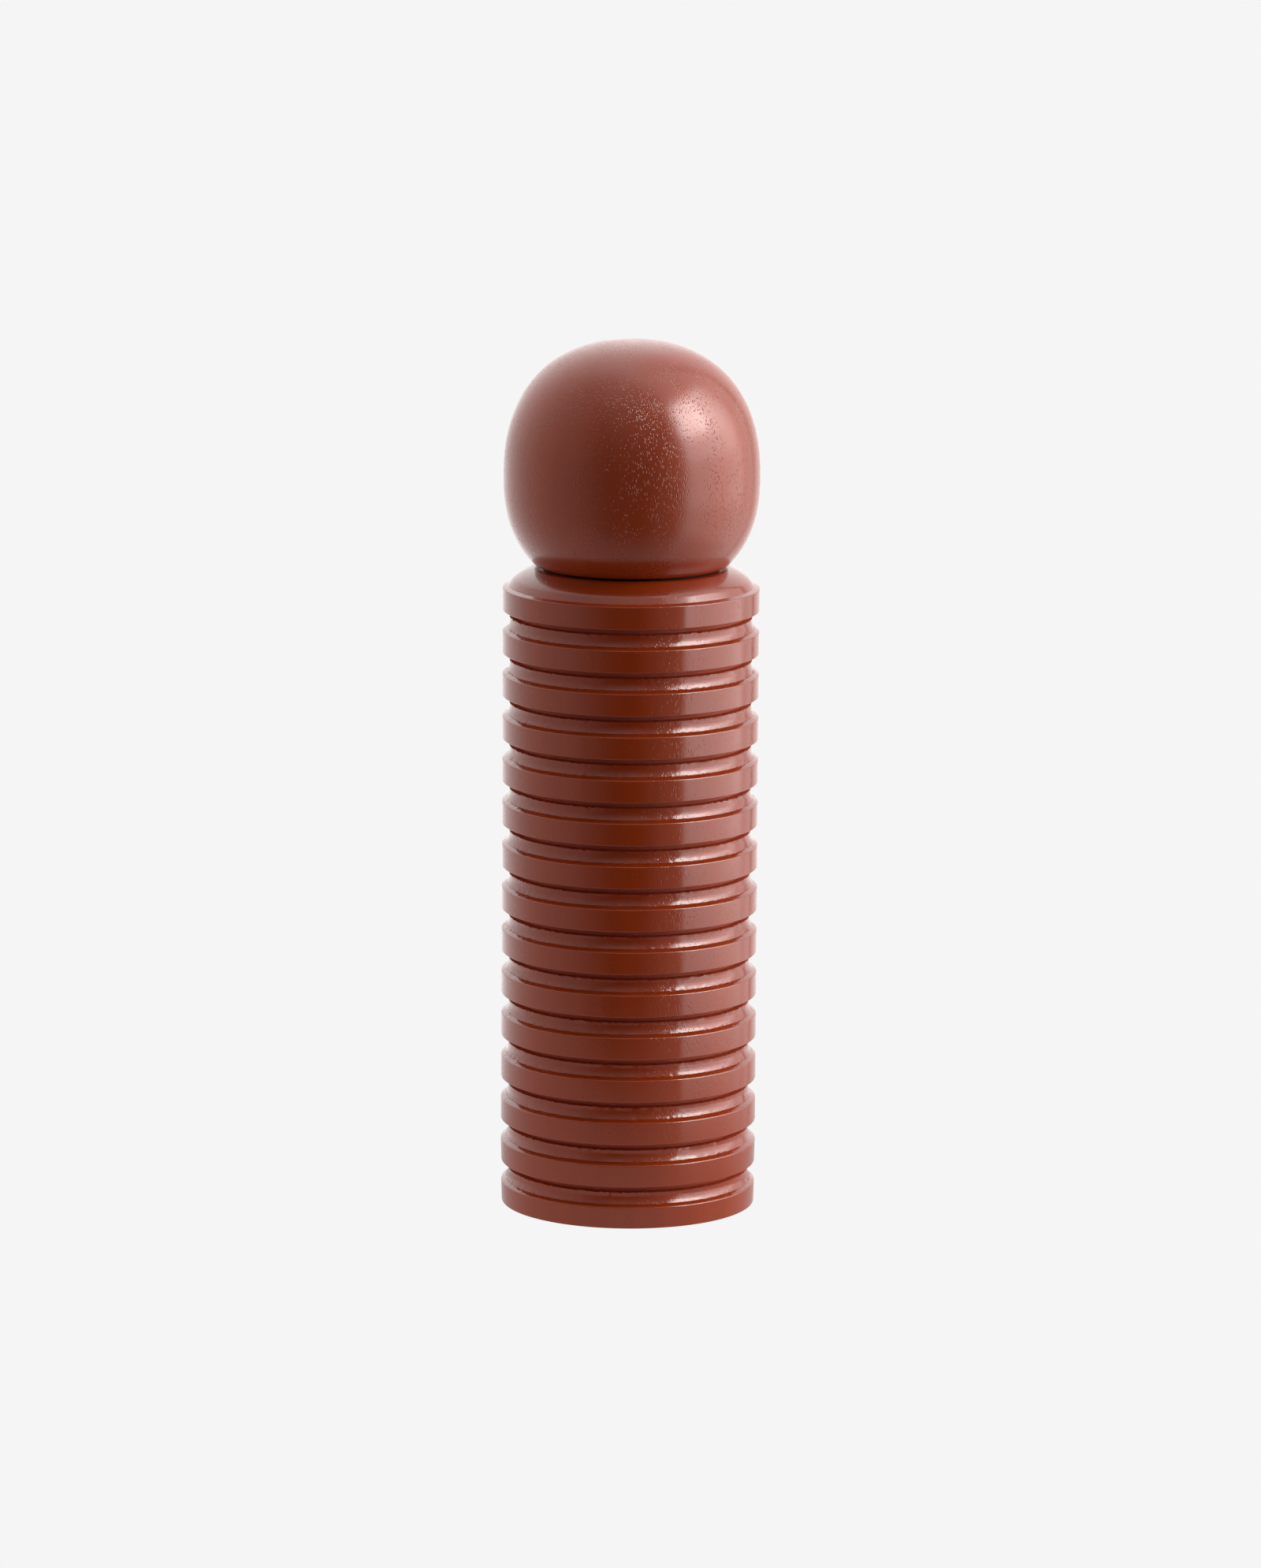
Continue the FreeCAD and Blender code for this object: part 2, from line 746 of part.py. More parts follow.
def make_shaft_bridge():
    body = new_body("shaft_bridge")
    low, high = size("bridge_bottom"), size("bore_top")
    turn(body, rectangle(size("bridge_ring_inner"), low, size("housing_radius"), high))
    half = size("arm_width") / 2

    def draw_arm(sketch):
        outline(sketch, rectangle(size("bridge_hub_radius") - 1.0, -half,
                                  size("bridge_ring_inner") + 1.0, half))
    arm = raise_prism(body, draw_arm, low, high)
    ring_pattern(body, arm, size("screw_count"))
    turn(body, rectangle(size("sleeve_radius") + size("running_gap"), low - size("bridge_hub_drop"),
                         size("bridge_hub_radius"), size("bridge_hub_top")))
    return body


def make_burr_housing():
    body = new_body("burr_housing_blank")
    flange_low = size("recess_depth") - size("housing_flange")
    turn(body, [
        (size("outlet_radius"), flange_low),
        (size("housing_flange_radius") - size("small_bevel"), flange_low),
        (size("housing_flange_radius"), flange_low + size("small_bevel")),
        (size("housing_flange_radius"), size("recess_depth")),
        (size("housing_radius"), size("recess_depth")),
        (size("housing_radius"), size("bridge_bottom")),
        (size("housing_inner"), size("bridge_bottom")),
        (size("housing_inner"), size("burr_seat")),
        (size("outlet_radius"), size("burr_seat")),
    ])
    pilot_holes(body, size("housing_screw_circle"), flange_low, size("recess_depth"),
                size("screw_shank") + size("pilot_gap"))
    return countersunk("burr_housing", body, size("housing_screw_circle"), flange_low)


def tooth_cutters(label, grade, hand, start, stop):
    """Rods that cut fine or coarse teeth into a burr, each leaning from start to stop (radius, height)."""
    count = int(sheet.get(f"{grade}_teeth"))
    lean = hand * math.radians(float(sheet.get(f"{grade}_tooth_lean")))
    rods = []
    for i in range(count):
        angle = 2 * math.pi * i / count
        foot, top = [
            FreeCAD.Vector(number_of(reach) * math.cos(turned), number_of(reach) * math.sin(turned),
                           number_of(height))
            for (reach, height), turned in ((start, angle), (stop, angle + lean))]
        rod = doc.addObject("Part::Cylinder", f"{label}_{grade}{i}")
        bind(rod, "Radius", size(f"{grade}_tooth_radius"))
        rod.Height = (top - foot).Length
        rod.Placement = FreeCAD.Placement(foot, FreeCAD.Rotation(FreeCAD.Vector(0, 0, 1), top - foot))
        rods.append(rod)
    return rods


def make_outer_burr():
    body = new_body("outer_burr_blank")
    outer = size("housing_inner") - size("press_gap")
    turn(body, [
        (size("outlet_gap_radius"), size("burr_seat")),
        (outer, size("burr_seat")),
        (outer, size("outer_burr_top")),
        (size("funnel_radius"), size("outer_burr_top")),
        (size("throat_radius"), size("throat")),
    ])
    rods = tooth_cutters(
        "outer_burr", "fine", 1,
        (size("outlet_gap_radius") + 0.3, size("burr_seat") - 0.5),
        (size("throat_radius") + 0.3, size("throat") + 0.5))
    return combine("Part::Cut", "outer_burr", [body, combine("Part::MultiFuse", "outer_burr_teeth", rods)])


def make_burr_retainer():
    return turned_ring("burr_retainer", size("funnel_radius"), size("housing_inner") - size("press_gap"),
                       size("outer_burr_top"), size("outer_burr_top") + size("retainer"))


# ---------------------------------------------------------------- inner burr and its carrier

def make_burr_carrier():
    body = new_body("burr_carrier")
    low = size("carrier_bottom")
    flange_top = low + size("carrier_flange")
    turn(body, [
        (size("stud_bore"), low),
        (size("carrier_flange_radius"), low),
        (size("carrier_flange_radius"), flange_top),
        (size("carrier_radius"), flange_top),
        (size("carrier_radius"), size("carrier_top")),
        (size("stud_bore"), size("carrier_top")),
    ])
    flats = size("shaft_flats") + size("hex_clearance") * 2
    raise_prism(body, lambda sketch: outline(sketch, hexagon(flats)),
                size("carrier_top") - size("hex_socket_depth"), size("carrier_top"),
                "PartDesign::Pocket")
    return body


def make_inner_burr():
    body = new_body("inner_burr_blank")
    bore = size("carrier_radius") + size("press_gap")
    bottom = size("carrier_bottom") + size("carrier_flange")
    turn(body, [
        (bore, bottom),
        (size("burr_rim_radius") - size("burr_rim_bevel"), bottom),
        (size("burr_rim_radius"), size("burr_rim")),
        (size("burr_waist_radius"), size("throat")),
        (size("burr_top_radius"), size("burr_top")),
        (bore, size("burr_top")),
    ])
    fine = tooth_cutters(
        "inner_burr", "fine", -1,
        (size("burr_rim_radius") + 0.1, size("burr_rim") - 1.0),
        (size("burr_waist_radius") + 0.1, size("throat") + 0.5))
    coarse = tooth_cutters(
        "inner_burr", "coarse", -1,
        (size("burr_waist_radius") + 0.6, size("throat") - 1.0),
        (size("burr_top_radius") + 1.0, size("burr_top") + 1.0))
    teeth = combine("Part::MultiFuse", "inner_burr_teeth", fine + coarse)
    return combine("Part::Cut", "inner_burr", [body, teeth])


def make_burr_lock_ring():
    body = turned_ring("burr_lock_ring", size("carrier_radius") + size("press_gap"), size("lock_ring_radius"),
                       size("burr_top"), size("carrier_top"))
    half = size("clip")
    rim = size("lock_ring_radius")

    def draw_notch(sketch):
        outline(sketch, rectangle(rim - size("clip"), -half, rim + 1.0, half))
    notch = raise_prism(body, draw_notch, size("burr_top"), size("carrier_top"), "PartDesign::Pocket")
    ring_pattern(body, notch, size("lock_ring_notches"))
    return body


# ---------------------------------------------------------------- adjusting knob

def make_adjust_knob():
    body = new_body("adjust_knob")
    low, high = size("knob_bottom"), size("knob_top")
    insert_low = low + size("knob_dish")
    turn(body, [
        (size("insert_flange_radius"), insert_low),
        (size("knob_dish_radius"), insert_low),
        (size("knob_dish_radius") + size("knob_dish"), low),
        (size("knob_radius") - size("small_bevel"), low),
        (size("knob_radius"), low + size("small_bevel")),
        (size("knob_radius"), high - size("knob_bevel")),
        (size("knob_radius") - size("knob_bevel"), high),
        (size("knob_hub_radius"), high),
        (size("knob_hub_radius"), size("knob_hub_top")),
        (size("insert_radius"), size("knob_hub_top")),
        (size("insert_radius"), insert_low + size("insert_flange")),
        (size("insert_flange_radius"), insert_low + size("insert_flange")),
    ])
    flute_at = size("knob_radius") + size("flute_offset")

    def draw_flute(sketch):
        circle(sketch, flute_at, 0.0, size("flute_radius"))
    flute = raise_prism(body, draw_flute, low - 0.5, high + 0.5, "PartDesign::Pocket")
    ring_pattern(body, flute, size("flute_count"))
    return body


def make_knob_insert():
    body = new_body("knob_insert")
    low = size("knob_bottom") + size("knob_dish")
    thread = size("stud_radius") + size("running_gap")
    turn(body, [
        (thread, low),
        (size("insert_flange_radius"), low),
        (size("insert_flange_radius"), low + size("insert_flange")),
        (size("insert_radius"), low + size("insert_flange")),
        (size("insert_radius"), size("knob_hub_top")),
        (thread, size("knob_hub_top")),
    ])
    return body


def make_detent_washer():
    return turned_ring("detent_washer", size("detent_hole"), size("detent_radius"),
                       size("knob_hub_top"), size("knob_hub_top") + size("washer"))


# ---------------------------------------------------------------- build, check and write

def check(nodes):
    doc.recompute()
    for item in doc.Objects:
        if "Invalid" in item.State or "Error" in item.State:
            raise RuntimeError(f"{item.Name} failed: {item.State}")
    for node in nodes:
        shape = node.Shape
        if shape.isNull() or not shape.isValid() or not shape.Solids:
            raise RuntimeError(f"{node.Label} has no valid solid")


nodes = [
    make_body_shell(),
    make_glide_ring(),
    make_shaft_bridge(),
    make_burr_housing(),
    make_outer_burr(),
    make_burr_retainer(),
    screws("housing_screws", size("housing_screw_circle"),
           size("recess_depth") - size("housing_flange"), size("housing_screw_length")),
    make_drive_shaft(),
    make_shaft_sleeve(),
    *make_washers(),
    make_shaft_clip(),
    make_burr_spring(),
    make_burr_carrier(),
    make_inner_burr(),
    make_burr_lock_ring(),
    make_adjust_knob(),
    make_knob_insert(),
    make_detent_washer(),
    make_head_ball(),
    make_drive_socket(),
    make_socket_cap(),
    make_grip_clip(),
    screws("socket_screws", size("socket_screw_circle"),
           size("tenon_bottom") - size("socket_flange") - size("socket_cap"),
           size("socket_screw_length")),
]
check(nodes)

os.makedirs("parts", exist_ok=True)
for node in nodes:
    node.Shape.exportStep(os.path.join("parts", f"{node.Label}.step"))
    box = node.Shape.BoundBox
    print(f"{node.Label:16s} solids {len(node.Shape.Solids):2d}  volume {node.Shape.Volume:10.1f}"
          f"  z {box.ZMin:7.2f} to {box.ZMax:7.2f}  r {max(box.XMax, box.YMax):6.2f}")
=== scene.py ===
import json
import math

import bpy
from mathutils import Matrix, Vector, noise


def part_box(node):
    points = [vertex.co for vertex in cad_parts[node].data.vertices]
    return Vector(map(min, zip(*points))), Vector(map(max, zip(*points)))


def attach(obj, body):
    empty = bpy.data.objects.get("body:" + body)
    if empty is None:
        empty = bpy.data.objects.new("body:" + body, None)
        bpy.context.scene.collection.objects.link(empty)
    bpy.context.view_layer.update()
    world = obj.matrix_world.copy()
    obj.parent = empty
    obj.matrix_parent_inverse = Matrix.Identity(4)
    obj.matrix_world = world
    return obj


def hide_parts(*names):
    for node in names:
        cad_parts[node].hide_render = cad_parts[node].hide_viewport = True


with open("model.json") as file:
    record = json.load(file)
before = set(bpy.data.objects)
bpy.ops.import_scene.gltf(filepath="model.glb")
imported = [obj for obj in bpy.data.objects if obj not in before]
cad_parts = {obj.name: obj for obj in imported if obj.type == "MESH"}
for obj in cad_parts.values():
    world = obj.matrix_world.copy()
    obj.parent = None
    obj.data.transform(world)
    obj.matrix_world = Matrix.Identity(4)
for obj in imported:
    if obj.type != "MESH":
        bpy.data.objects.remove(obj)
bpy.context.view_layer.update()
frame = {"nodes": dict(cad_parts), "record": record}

# Pepper mill: the two turned wooden pieces are built here as fine meshes, and the mechanism inside is
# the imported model's own with better materials. Metres, +Z up, origin at the centre of the foot.

MM = 0.001
shell_low, shell_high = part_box("body_shell")
head_low, head_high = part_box("head_ball")

# wooden body
SHELL_RADIUS = shell_high.x
SHELL_HEIGHT = 151.25 * MM
FOOT_RADIUS = SHELL_RADIUS - 0.25 * MM
FOOT_TAPER = 20.0 * MM
FOOT_ROUND = 0.3 * MM
GROOVES = 14
GROOVE_PITCH = 10.105 * MM
GROOVE_TOP = 141.2 * MM
GROOVE_HEIGHT = 4.95 * MM
SLOT_RADIUS = 27.0 * MM
SLOT_HEIGHT = 1.35 * MM
TORN_AWAY = 0.25 * MM    # wood torn off the cove's upper edge
COVE_RADIUS = 28.3 * MM
COVE_FOOT_RADIUS = 28.9 * MM
COVE_FOOT = 4.2 * MM
COVE_CURVE = 3.2 * MM
QUIRK_RADIUS = 28.85 * MM
QUIRK_DEPTH = 4.3 * MM
BAND_ROUND = 0.2 * MM
TOP_BAND = 146.45 * MM
SHOULDER_LEDGE = 0.45 * MM
SHOULDER_FOOT_RADIUS = 28.7 * MM
SHOULDER_BREAK_RADIUS = 27.5 * MM
SHOULDER_BREAK = 148.5 * MM
SHOULDER_CURVE = 16.0 * MM
SHELL_FLAT_RADIUS = 22.7 * MM
SEAT_RADIUS = 20.6 * MM
SEAT_DEPTH = 0.65 * MM
CHAMBER_RADIUS = 17.0 * MM
BORE_RADIUS = 19.0 * MM
BORE_TOP = 43.5 * MM
RECESS_RADIUS = 23.0 * MM
RECESS_DEPTH = 4.0 * MM
BODY_SEGMENTS = 400

# wooden head
HEAD_RADIUS = head_high.x
HEAD_TOP = head_high.z
HEAD_MIDDLE = 172.78 * MM
HEAD_LOWER_HALF = 28.19 * MM
HEAD_BOTTOM = 151.8 * MM
HEAD_POWER_ABOVE = 2.29
HEAD_POWER_BELOW = 2.38
TENON_RADIUS = 16.4 * MM
TENON_BOTTOM = head_low.z
TENON_CHAMFER = 0.8 * MM
SOCKET_RADIUS = 12.0 * MM
SOCKET_TOP = 160.2 * MM
TIP_BORE_RADIUS = 5.5 * MM
TIP_BORE_TOP = 168.0 * MM
HEAD_SEGMENTS = 400

# camera
CAMERA_DISTANCE = 1.7114
CAMERA_HEIGHT = 0.421226
CAMERA_PITCH = 0.185694
CAMERA_ROLL = 0.00623
CAMERA_LENS = 170.79
CAMERA_SHIFT = 0.00032


# ---------------------------------------------------------------- turned meshes

def arc(start, stop, radius, steps):
    """Points on an arc from start to stop, without start; its centre is to the left of the way it runs."""
    chord = Vector(stop) - Vector(start)
    left = Vector((-chord.y, chord.x)).normalized()
    reach = math.sqrt(radius ** 2 - (chord.length / 2) ** 2)
    centre = (Vector(start) + Vector(stop)) / 2 + left * reach
    begin = Vector(start) - centre
    sweep = 2 * math.asin(chord.length / 2 / radius)
    points = []
    for i in range(1, steps + 1):
        turn = sweep * i / steps
        points.append((centre.x + begin.x * math.cos(turn) - begin.y * math.sin(turn),
                       centre.y + begin.x * math.sin(turn) + begin.y * math.cos(turn)))
    return points


def stretch(start, stop, steps):
    """Points on a straight line from start to stop, without start."""
    return [(start[0] + (stop[0] - start[0]) * i / steps, start[1] + (stop[1] - start[1]) * i / steps)
            for i in range(1, steps + 1)]


def rounded_corner(corner, before, after, radius, steps):
    """Points that round a corner, from the side of before to the side of after."""
    corner = Vector(corner)
    back = (Vector(before) - corner).normalized() * radius
    ahead = (Vector(after) - corner).normalized() * radius
    points = []
    for i in range(steps + 1):
        share = i / steps
        point = corner + back * (1 - share) ** 2 + ahead * share ** 2
        points.append(tuple(point))
    return points


# kinds of ring that are hard corners
CREASED = {"torn", "quirk", "slot", "shoulder_foot", "under", "bore"}


def turned(name, outline, segments, shift, materials, slot_of):
    """Revolve (radius, height, kind) points about Z. A point on the axis becomes a single vertex."""
    vertices, rings, ring_of = [], [], []
    for index, (radius, height, kind) in enumerate(outline):
        if radius < 1e-9:
            rings.append([len(vertices)])
            ring_of.append(index)
            vertices.append((0.0, 0.0, height))
            continue
        ring = []
        for s in range(segments):
            angle = 2 * math.pi * s / segments
            out, up = shift(radius, height, angle, kind)
            ring.append(len(vertices))
            ring_of.append(index)
            vertices.append(((radius + out) * math.cos(angle), (radius + out) * math.sin(angle),
                             height + up))
        rings.append(ring)
    faces, face_slots = [], []
    closed = len(rings[0]) > 1
    last = len(rings) if closed else len(rings) - 1
    for index in range(last):
        here, there = rings[index], rings[(index + 1) % len(rings)]
        slot = slot_of(outline[index][2], outline[(index + 1) % len(rings)][2])
        for s in range(segments):
            n = (s + 1) % segments
            if len(here) == 1:
                faces.append((here[0], there[n], there[s]))
            elif len(there) == 1:
                faces.append((here[s], here[n], there[0]))
            else:
                faces.append((here[s], here[n], there[n], there[s]))
            face_slots.append(slot)
    mesh = bpy.data.meshes.new(name)
    mesh.from_pydata(vertices, [], faces)
    for material in materials:
        mesh.materials.append(material)
    mesh.polygons.foreach_set("material_index", face_slots)
    mesh.polygons.foreach_set("use_smooth", [True] * len(faces))
    mesh.edges.foreach_set("use_edge_sharp", [
        ring_of[edge.vertices[0]] == ring_of[edge.vertices[1]]
        and outline[ring_of[edge.vertices[0]]][2] in CREASED for edge in mesh.edges])
    mesh.validate()
    mesh.update()
    piece = bpy.data.objects.new(name, mesh)
    bpy.context.scene.collection.objects.link(piece)
    flat_faces = piece.modifiers.new("flat_faces", "WEIGHTED_NORMAL")
    flat_faces.keep_sharp = True
    return piece



def body_outline():
    """The body's section, anticlockwise: up the outside, over the top and down the bores."""
    points = []

    def add(places, kind):
        points.extend((x, z, kind) for x, z in places)

    def band_radius(height):
        return SHELL_RADIUS - (SHELL_RADIUS - FOOT_RADIUS) * max(0.0, 1 - height / FOOT_TAPER)

    inner_corner = (RECESS_RADIUS, 0.0)
    foot_corner = (FOOT_RADIUS, 0.0)
    add(rounded_corner(inner_corner, (RECESS_RADIUS, 1.0), foot_corner, 0.4 * MM, 2), "foot")
    add(rounded_corner(foot_corner, inner_corner, (FOOT_RADIUS, 1.0), FOOT_ROUND, 4), "band")
    for number in reversed(range(GROOVES)):
        top = GROOVE_TOP - number * GROOVE_PITCH
        radius = band_radius(top)
        ledge_slope = (GROOVE_HEIGHT - QUIRK_DEPTH) / (SHELL_RADIUS - QUIRK_RADIUS)
        ledge_edge = (radius, top - QUIRK_DEPTH - ledge_slope * (radius - QUIRK_RADIUS))
        quirk = (QUIRK_RADIUS, top - QUIRK_DEPTH)
        cove_foot = (COVE_FOOT_RADIUS, top - COVE_FOOT)
        cove_top = (COVE_RADIUS, top - SLOT_HEIGHT - TORN_AWAY)
        add(rounded_corner(ledge_edge, (radius, 0.0), quirk, BAND_ROUND, 2), "band")
        add([quirk], "quirk")
        add([cove_foot], "torn")
        add(reversed(arc(cove_top, cove_foot, COVE_CURVE, 5)[:-1]), "cove")
        add([cove_top], "torn")
        add([(SLOT_RADIUS, top - SLOT_HEIGHT)], "slot")
        add([(SLOT_RADIUS, top)], "slot")
        add(rounded_corner((radius, top), (SLOT_RADIUS, top), (radius, top + 1.0), BAND_ROUND, 2), "band")
    top_edge = (SHELL_RADIUS, TOP_BAND)
    shoulder_foot = (SHOULDER_FOOT_RADIUS, TOP_BAND + SHOULDER_LEDGE)
    shoulder_break = (SHOULDER_BREAK_RADIUS, SHOULDER_BREAK)
    shell_flat = (SHELL_FLAT_RADIUS, SHELL_HEIGHT)
    add(rounded_corner(top_edge, (SHELL_RADIUS, 0.0), shoulder_foot, BAND_ROUND, 4), "band")
    add([shoulder_foot], "shoulder_foot")
    add(stretch(shoulder_foot, shoulder_break, 4), "shoulder")
    add(arc(shoulder_break, shell_flat, SHOULDER_CURVE, 8), "shoulder")
    add([(SEAT_RADIUS, SHELL_HEIGHT)], "shoulder")
    add([(SEAT_RADIUS, SHELL_HEIGHT - SEAT_DEPTH)], "bore")
    add([(CHAMBER_RADIUS, SHELL_HEIGHT - SEAT_DEPTH)], "bore")
    add(stretch((CHAMBER_RADIUS, SHELL_HEIGHT - SEAT_DEPTH), (CHAMBER_RADIUS, BORE_TOP), 4), "bore")
    add([(BORE_RADIUS, BORE_TOP)], "bore")
    add([(BORE_RADIUS, RECESS_DEPTH)], "bore")
    add([(RECESS_RADIUS, RECESS_DEPTH)], "bore")
    return points


# how far each kind of ring is torn by the tool: outwards, upwards (metres)
TEAR = {"torn": (0.28 * MM, 0.28 * MM), "quirk": (0.14 * MM, 0.12 * MM), "cove": (0.05 * MM, 0.0),
        "shoulder_foot": (0.05 * MM, 0.04 * MM)}


def body_shift(radius, height, angle, kind):
    """Torn grain: short chips along the groove's edges, never beyond the turned surface."""
    if kind not in TEAR:
        return 0.0, 0.0
    out, up = TEAR[kind]
    place = Vector((math.cos(angle), math.sin(angle), height * 90.0))
    fine = noise.noise(place * 55.0)
    broad = noise.noise(Vector((math.cos(angle) * 5, math.sin(angle) * 5, height * 400.0)))
    chip = max(0.0, fine * 0.9 + broad * 0.6)
    other = noise.noise(place * 47.0 + Vector((7.0, 3.0, 5.0)))
    return -out * chip, up * other * (0.6 + broad)


def head_outline():
    """The head's section: from the top down the outside, under to the tenon, and up the socket."""
    points = [(0.0, HEAD_TOP, "ball")]
    above = HEAD_TOP - HEAD_MIDDLE
    steps = 72
    for i in range(1, steps + 1):
        angle = math.pi / 2 * (1 - i / steps)
        points.append((HEAD_RADIUS * math.cos(angle) ** (2 / HEAD_POWER_ABOVE),
                       HEAD_MIDDLE + above * math.sin(angle) ** (2 / HEAD_POWER_ABOVE), "ball"))
    drop = (HEAD_MIDDLE - HEAD_BOTTOM) / HEAD_LOWER_HALF
    lowest = math.asin(drop ** (HEAD_POWER_BELOW / 2))
    steps = 48
    for i in range(1, steps + 1):
        angle = lowest * i / steps
        points.append((HEAD_RADIUS * math.cos(angle) ** (2 / HEAD_POWER_BELOW),
                       HEAD_MIDDLE - HEAD_LOWER_HALF * math.sin(angle) ** (2 / HEAD_POWER_BELOW), "ball"))
    edge = points.pop()
    points += [(x, z, "ball") for x, z in rounded_corner(
        edge[:2], points[-1][:2], (TENON_RADIUS, HEAD_BOTTOM), 0.3 * MM, 3)]
    points += [
        (TENON_RADIUS + 0.8 * MM, HEAD_BOTTOM, "under"),
        (TENON_RADIUS, HEAD_BOTTOM - 0.1 * MM, "tenon"),
        (TENON_RADIUS, TENON_BOTTOM + TENON_CHAMFER, "tenon"),
        (TENON_RADIUS - TENON_CHAMFER, TENON_BOTTOM, "tenon"),
        (SOCKET_RADIUS, TENON_BOTTOM, "tenon"),
        (SOCKET_RADIUS, SOCKET_TOP, "tenon"),
        (TIP_BORE_RADIUS, SOCKET_TOP, "tenon"),
        (TIP_BORE_RADIUS, TIP_BORE_TOP, "tenon"),
        (0.0, TIP_BORE_TOP, "tenon"),
    ]
    return points


# ---------------------------------------------------------------- materials

class Nodes:
    """Short ways to build the node tree of a material or of the world."""

    def __init__(self, owner, shader="Principled BSDF"):
        owner.use_nodes = True
        self.owner = owner
        self.tree = owner.node_tree
        self.shader = self.tree.nodes[shader]

    def add(self, kind, inputs=None, **settings):
        node = self.tree.nodes.new(kind)
        for key, value in settings.items():
            setattr(node, key, value)
        for key, value in (inputs or {}).items():
            self.feed(node.inputs[key], value)
        return node

    def feed(self, socket, value):
        if isinstance(value, bpy.types.NodeSocket):
            self.tree.links.new(value, socket)
        else:
            socket.default_value = value

    def place(self, scale):
        """The object's own coordinates times a scale along each axis."""
        coordinates = self.add("ShaderNodeTexCoord")
        mapping = self.add("ShaderNodeMapping", {"Vector": coordinates.outputs["Object"], "Scale": scale})
        return mapping.outputs["Vector"]

    def noise(self, scale, size=1.0, detail=3.0, roughness=0.5):
        node = self.add("ShaderNodeTexNoise", {"Vector": self.place(scale), "Scale": size,
                                               "Detail": detail, "Roughness": roughness})
        return node.outputs["Fac"]

    def math(self, operation, a, b=0.0, clamp=False):
        node = self.add("ShaderNodeMath", operation=operation, use_clamp=clamp)
        self.feed(node.inputs[0], a)
        self.feed(node.inputs[1], b)
        return node.outputs[0]

    def spread(self, value, low, high, to_low=0.0, to_high=1.0):
        node = self.add("ShaderNodeMapRange", {"Value": value, "From Min": low, "From Max": high,
                                               "To Min": to_low, "To Max": to_high})
        return node.outputs["Result"]

    def mix(self, share, a, b):
        """Two colours mixed; a mix node's colour sockets are inputs 6 and 7 and output 2."""
        node = self.add("ShaderNodeMix", data_type="RGBA")
        self.feed(node.inputs["Factor"], share)
        self.feed(node.inputs[6], a)
        self.feed(node.inputs[7], b)
        return node.outputs[2]

    def ramp(self, value, stops):
        """Straight steps between (place, level) stops, with places in order."""
        places = [place for place, level in stops]
        highest = max(level for place, level in stops)
        node = self.add("ShaderNodeValToRGB", {"Fac": self.spread(value, places[0], places[-1])})
        elements = node.color_ramp.elements
        for _ in stops[1:-1]:
            elements.new(0.5)
        for index, (place, level) in enumerate(stops):
            elements[index].position = (place - places[0]) / (places[-1] - places[0])
            elements[index].color = (level / highest,) * 3 + (1.0,)
        return self.math("MULTIPLY", node.outputs["Color"], highest)

    def bump(self, height, distance, strength=1.0, normal=None):
        node = self.add("ShaderNodeBump", {"Height": height, "Distance": distance, "Strength": strength})
        if normal is not None:
            self.feed(node.inputs["Normal"], normal)
        return node.outputs["Normal"]

    def set(self, **values):
        for key, value in values.items():
            self.feed(self.shader.inputs[key.replace("_", " ")], value)


def lacquered_wood(name, roughness, pore_depth, gloss_level=0.5, tone=1.0):
    """Red-brown stained wood under satin lacquer; the grain's pores run along Z and show as fine dashes. A
    tone above 1 scales the stain up, which is painted light: a lighter copy of the lacquer for recesses.
    """
    def stained(*colour):
        return tuple(level * tone for level in colour) + (1.0,)

    n = Nodes(bpy.data.materials.new(name))
    # pores: short upright cells, crowded in some places and missing in others
    pores = n.add("ShaderNodeTexVoronoi", {"Vector": n.place((1.0, 1.0, 0.3)), "Scale": 2600.0}, feature="F1")
    crowd = n.noise((1.0, 1.0, 0.5), 150.0, 2.0)
    pore_size = n.spread(crowd, 0.30, 0.56, 0.10, 0.37)
    pore = n.math("DIVIDE", n.math("SUBTRACT", pore_size, pores.outputs["Distance"], clamp=True), pore_size)
    figure = n.noise((1.0, 1.0, 0.12), 210.0, 4.0, 0.6)
    cloud = n.noise((1.0, 1.0, 0.6), 42.0, 2.0)
    stain = n.mix(n.spread(figure, 0.3, 0.7), stained(0.285, 0.0320, 0.0034), stained(0.325, 0.0385, 0.0046))
    stain = n.mix(n.spread(cloud, 0.35, 0.65, 0.0, 0.35), stain, stained(0.300, 0.0320, 0.0030))
    colour = n.mix(n.math("MULTIPLY", pore, 0.5), stain, stained(0.150, 0.0140, 0.0012))
    # surface: pores sink in, the lacquer is slightly wavy, and the lathe left streaks of very fine rings
    peel = n.noise((1.0, 1.0, 0.7), 900.0, 2.0)
    rings = n.noise((0.3, 0.3, 30.0), 160.0, 3.0, 0.7)
    streaks = n.spread(n.noise((1.0, 1.0, 2.5), 90.0, 2.0), 0.48, 0.66, 0.15, 1.0)
    normal = n.bump(n.math("MULTIPLY", pore, -1.0), pore_depth)
    normal = n.bump(peel, 0.012 * MM, 0.5, normal)
    normal = n.bump(n.math("MULTIPLY", rings, streaks), 0.016 * MM, 0.5, normal)
    gloss = n.noise((1.0, 1.0, 0.4), 120.0, 3.0)
    n.set(Base_Color=colour, Roughness=n.spread(gloss, 0.3, 0.7, roughness - 0.03, roughness + 0.05),
          Normal=normal, IOR=1.5, Specular_IOR_Level=gloss_level)
    return n.owner


